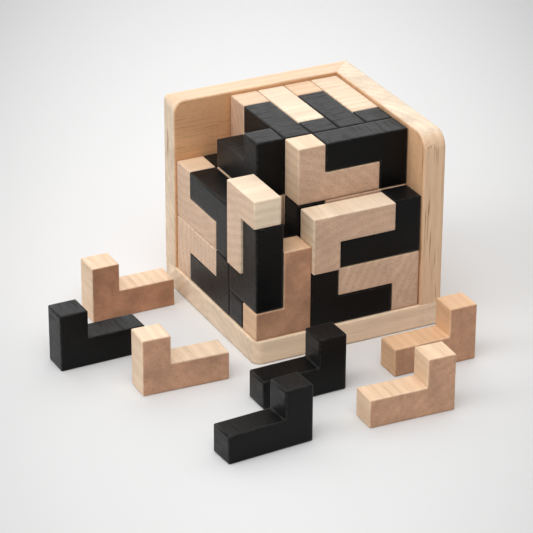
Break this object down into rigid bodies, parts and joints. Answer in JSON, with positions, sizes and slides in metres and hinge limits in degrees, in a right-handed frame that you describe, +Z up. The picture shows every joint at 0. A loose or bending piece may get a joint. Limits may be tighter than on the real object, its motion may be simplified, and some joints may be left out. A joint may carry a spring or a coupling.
{
  "type": "wooden packing cube puzzle",
  "caption": "Cube puzzle of L-shaped wooden pieces, natural and black, packed in an open corner tray, with some pieces standing loose beside it.",
  "frame": {"origin": "centre of the base board's underside, on the table", "axes": "+Z up, +X to the right along the open front, +Y back along the open left side; walls at +X and +Y"},
  "size_m": [0.1898, 0.1831, 0.104],
  "materials": {
    "tray_wood": "satin oiled hardwood",
    "natural_wood": "satin, pale hardwood",
    "black_wood": "satin black stain"
  },
  "bodies": {
    "tray": {"tray_base": "tray_wood", "tray_rear_wall": "tray_wood", "tray_right_wall": "tray_wood"},
    "front_a": {"front_a_natural": "natural_wood"},
    "front_b": {"front_b_black": "black_wood"},
    "front_c": {"front_c_natural": "natural_wood"},
    "front_e": {"front_e_natural": "natural_wood"},
    "front_f": {"front_f_black": "black_wood"},
    "left_d": {"left_d_black": "black_wood"},
    "left_g": {"left_g_natural": "natural_wood"},
    "left_h": {"left_h_natural": "natural_wood"},
    "left_i": {"left_i_natural": "natural_wood"},
    "left_j": {"left_j_black": "black_wood"},
    "left_k": {"left_k_black": "black_wood"},
    "loose_back_left": {"loose_back_left_natural": "natural_wood"},
    "loose_far_left": {"loose_far_left_black": "black_wood"},
    "loose_front_left": {"loose_front_left_black": "black_wood"},
    "loose_front_right": {"loose_front_right_natural": "natural_wood"},
    "loose_left": {"loose_left_natural": "natural_wood"},
    "loose_middle": {"loose_middle_black": "black_wood"},
    "loose_right": {"loose_right_natural": "natural_wood"},
    "second_l": {"second_l_black": "black_wood"},
    "second_p": {"second_p_natural": "natural_wood"},
    "second_q": {"second_q_black": "black_wood"},
    "second_s": {"second_s_black": "black_wood"},
    "second_t": {"second_t_natural": "natural_wood"},
    "second_u": {"second_u_black": "black_wood"},
    "second_v": {"second_v_natural": "natural_wood"},
    "stack1_b": {"stack1_b_black": "black_wood"},
    "stack1_c": {"stack1_c_natural": "natural_wood"},
    "stack1_e": {"stack1_e_natural": "natural_wood"},
    "stack1_f": {"stack1_f_black": "black_wood"},
    "stack1_n": {"stack1_n_black": "black_wood"},
    "stack2_a": {"stack2_a_black": "black_wood"},
    "stack2_r": {"stack2_r_natural": "natural_wood"},
    "stack2_s": {"stack2_s_natural": "natural_wood"},
    "stack2_t": {"stack2_t_black": "black_wood"},
    "stack2_u": {"stack2_u_natural": "natural_wood"},
    "stack2_v": {"stack2_v_black": "black_wood"},
    "stack3_b": {"stack3_b_natural": "natural_wood"},
    "stack3_c": {"stack3_c_black": "black_wood"},
    "stack3_g": {"stack3_g_natural": "natural_wood"},
    "stack3_h": {"stack3_h_black": "black_wood"},
    "stack3_j": {"stack3_j_black": "black_wood"},
    "stack3_k": {"stack3_k_natural": "natural_wood"},
    "stack4_d": {"stack4_d_black": "black_wood"},
    "stack4_h": {"stack4_h_natural": "natural_wood"},
    "stack4_m": {"stack4_m_natural": "natural_wood"},
    "stack4_n": {"stack4_n_black": "black_wood"},
    "stack4_p": {"stack4_p_black": "black_wood"},
    "stack4_q": {"stack4_q_natural": "natural_wood"},
    "stack5_f": {"stack5_f_natural": "natural_wood"},
    "stack5_g": {"stack5_g_black": "black_wood"},
    "stack5_w": {"stack5_w_natural": "natural_wood"},
    "stack5_x": {"stack5_x_black": "black_wood"},
    "stack5_y": {"stack5_y_natural": "natural_wood"},
    "stack5_z": {"stack5_z_black": "black_wood"}
  },
  "joints": [
    {"name": "front_a_slide", "type": "slide", "parent": "tray", "child": "front_a", "axis": [0, -1, 0], "range_m": [0, 0.018]},
    {"name": "front_b_slide", "type": "slide", "parent": "tray", "child": "front_b", "axis": [0, -1, 0], "range_m": [0, 0.018]},
    {"name": "front_c_slide", "type": "slide", "parent": "tray", "child": "front_c", "axis": [0, -1, 0], "range_m": [0, 0.018]},
    {"name": "front_e_slide", "type": "slide", "parent": "tray", "child": "front_e", "axis": [0, -1, 0], "range_m": [0, 0.018]},
    {"name": "front_f_slide", "type": "slide", "parent": "tray", "child": "front_f", "axis": [0, -1, 0], "range_m": [0, 0.018]},
    {"name": "left_i_slide", "type": "slide", "parent": "tray", "child": "left_i", "axis": [-1, 0, 0], "range_m": [0, 0.018]},
    {"name": "left_j_slide", "type": "slide", "parent": "tray", "child": "left_j", "axis": [-1, 0, 0], "range_m": [0, 0.018]},
    {"name": "left_k_slide", "type": "slide", "parent": "tray", "child": "left_k", "axis": [-1, 0, 0], "range_m": [0, 0.018]},
    {"name": "left_h_slide", "type": "slide", "parent": "tray", "child": "left_h", "axis": [-1, 0, 0], "range_m": [0, 0.008]},
    {"name": "second_l_slide", "type": "slide", "parent": "tray", "child": "second_l", "axis": [-1, 0, 0], "range_m": [0, 0.018]},
    {"name": "left_d_slide", "type": "slide", "parent": "second_l", "child": "left_d", "axis": [-1, 0, 0], "range_m": [0, 0.018]},
    {"name": "left_g_slide", "type": "slide", "parent": "second_l", "child": "left_g", "axis": [-1, 0, 0], "range_m": [0, 0.018]},
    {"name": "second_v_slide", "type": "slide", "parent": "tray", "child": "second_v", "axis": [0, 0, 1], "range_m": [0, 0.018]},
    {"name": "second_s_slide", "type": "slide", "parent": "second_v", "child": "second_s", "axis": [0, 0, 1], "range_m": [0, 0.018]},
    {"name": "second_u_slide", "type": "slide", "parent": "second_s", "child": "second_u", "axis": [0, 0, 1], "range_m": [0, 0.018]},
    {"name": "second_t_slide", "type": "slide", "parent": "second_u", "child": "second_t", "axis": [0, 0, 1], "range_m": [0, 0.018]},
    {"name": "second_p_slide", "type": "slide", "parent": "second_t", "child": "second_p", "axis": [0, -1, 0], "range_m": [0, 0.018]},
    {"name": "second_q_slide", "type": "slide", "parent": "second_t", "child": "second_q", "axis": [0, -1, 0], "range_m": [0, 0.018]},
    {"name": "stack1_b_slide", "type": "slide", "parent": "tray", "child": "stack1_b", "axis": [0, 0, 1], "range_m": [0, 0.018]},
    {"name": "stack1_c_slide", "type": "slide", "parent": "stack1_b", "child": "stack1_c", "axis": [0, 0, 1], "range_m": [0, 0.018]},
    {"name": "stack1_f_slide", "type": "slide", "parent": "stack1_c", "child": "stack1_f", "axis": [0, 0, 1], "range_m": [0, 0.018]},
    {"name": "stack1_e_slide", "type": "slide", "parent": "stack1_f", "child": "stack1_e", "axis": [0, 0, 1], "range_m": [0, 0.018]},
    {"name": "stack1_n_slide", "type": "slide", "parent": "stack1_e", "child": "stack1_n", "axis": [0, 0, 1], "range_m": [0, 0.033]},
    {"name": "stack2_v_slide", "type": "slide", "parent": "tray", "child": "stack2_v", "axis": [0, 0, 1], "range_m": [0, 0.018]},
    {"name": "stack2_s_slide", "type": "slide", "parent": "stack2_v", "child": "stack2_s", "axis": [0, 0, 1], "range_m": [0, 0.018]},
    {"name": "stack2_u_slide", "type": "slide", "parent": "stack2_s", "child": "stack2_u", "axis": [0, 0, 1], "range_m": [0, 0.018]},
    {"name": "stack2_t_slide", "type": "slide", "parent": "stack2_u", "child": "stack2_t", "axis": [0, 0, 1], "range_m": [0, 0.018]},
    {"name": "stack2_r_slide", "type": "slide", "parent": "stack2_t", "child": "stack2_r", "axis": [0, 0, 1], "range_m": [0, 0.033]},
    {"name": "stack2_a_slide", "type": "slide", "parent": "stack2_r", "child": "stack2_a", "axis": [0, 0, 1], "range_m": [0, 0.033]},
    {"name": "stack3_k_slide", "type": "slide", "parent": "tray", "child": "stack3_k", "axis": [0, 0, 1], "range_m": [0, 0.018]},
    {"name": "stack3_j_slide", "type": "slide", "parent": "stack3_k", "child": "stack3_j", "axis": [0, 0, 1], "range_m": [0, 0.018]},
    {"name": "stack3_g_slide", "type": "slide", "parent": "stack3_j", "child": "stack3_g", "axis": [0, 0, 1], "range_m": [0, 0.018]},
    {"name": "stack3_h_slide", "type": "slide", "parent": "stack3_g", "child": "stack3_h", "axis": [0, 0, 1], "range_m": [0, 0.018]},
    {"name": "stack3_c_slide", "type": "slide", "parent": "stack3_h", "child": "stack3_c", "axis": [0, 0, 1], "range_m": [0, 0.033]},
    {"name": "stack3_b_slide", "type": "slide", "parent": "stack3_c", "child": "stack3_b", "axis": [0, 0, 1], "range_m": [0, 0.033]},
    {"name": "stack4_q_slide", "type": "slide", "parent": "tray", "child": "stack4_q", "axis": [0, 0, 1], "range_m": [0, 0.018]},
    {"name": "stack4_p_slide", "type": "slide", "parent": "stack4_q", "child": "stack4_p", "axis": [0, 0, 1], "range_m": [0, 0.018]},
    {"name": "stack4_n_slide", "type": "slide", "parent": "stack4_p", "child": "stack4_n", "axis": [0, 0, 1], "range_m": [0, 0.018]},
    {"name": "stack4_m_slide", "type": "slide", "parent": "stack4_n", "child": "stack4_m", "axis": [0, 0, 1], "range_m": [0, 0.018]},
    {"name": "stack4_h_slide", "type": "slide", "parent": "stack4_m", "child": "stack4_h", "axis": [0, 0, 1], "range_m": [0, 0.033]},
    {"name": "stack4_d_slide", "type": "slide", "parent": "stack4_h", "child": "stack4_d", "axis": [0, 0, 1], "range_m": [0, 0.033]},
    {"name": "stack5_z_slide", "type": "slide", "parent": "tray", "child": "stack5_z", "axis": [0, 0, 1], "range_m": [0, 0.018]},
    {"name": "stack5_y_slide", "type": "slide", "parent": "stack5_z", "child": "stack5_y", "axis": [0, 0, 1], "range_m": [0, 0.018]},
    {"name": "stack5_x_slide", "type": "slide", "parent": "stack5_y", "child": "stack5_x", "axis": [0, 0, 1], "range_m": [0, 0.018]},
    {"name": "stack5_w_slide", "type": "slide", "parent": "stack5_x", "child": "stack5_w", "axis": [0, 0, 1], "range_m": [0, 0.018]},
    {"name": "stack5_g_slide", "type": "slide", "parent": "stack5_w", "child": "stack5_g", "axis": [0, 0, 1], "range_m": [0, 0.033]},
    {"name": "stack5_f_slide", "type": "slide", "parent": "stack5_g", "child": "stack5_f", "axis": [0, 0, 1], "range_m": [0, 0.033]},
    {"name": "loose_back_left_slide", "type": "slide", "parent": "tray", "child": "loose_back_left", "axis": [0, 0, 1], "range_m": [0, 0.024]},
    {"name": "loose_far_left_slide", "type": "slide", "parent": "tray", "child": "loose_far_left", "axis": [0, 0, 1], "range_m": [0, 0.033]},
    {"name": "loose_front_left_slide", "type": "slide", "parent": "tray", "child": "loose_front_left", "axis": [0, 0, 1], "range_m": [0, 0.033]},
    {"name": "loose_front_right_slide", "type": "slide", "parent": "tray", "child": "loose_front_right", "axis": [0, 0, 1], "range_m": [0, 0.033]},
    {"name": "loose_left_slide", "type": "slide", "parent": "tray", "child": "loose_left", "axis": [0, 0, 1], "range_m": [0, 0.012]},
    {"name": "loose_middle_slide", "type": "slide", "parent": "tray", "child": "loose_middle", "axis": [0, 0, 1], "range_m": [0, 0.033]},
    {"name": "loose_right_slide", "type": "slide", "parent": "tray", "child": "loose_right", "axis": [0, 0, 1], "range_m": [0, 0.033]}
  ]
}
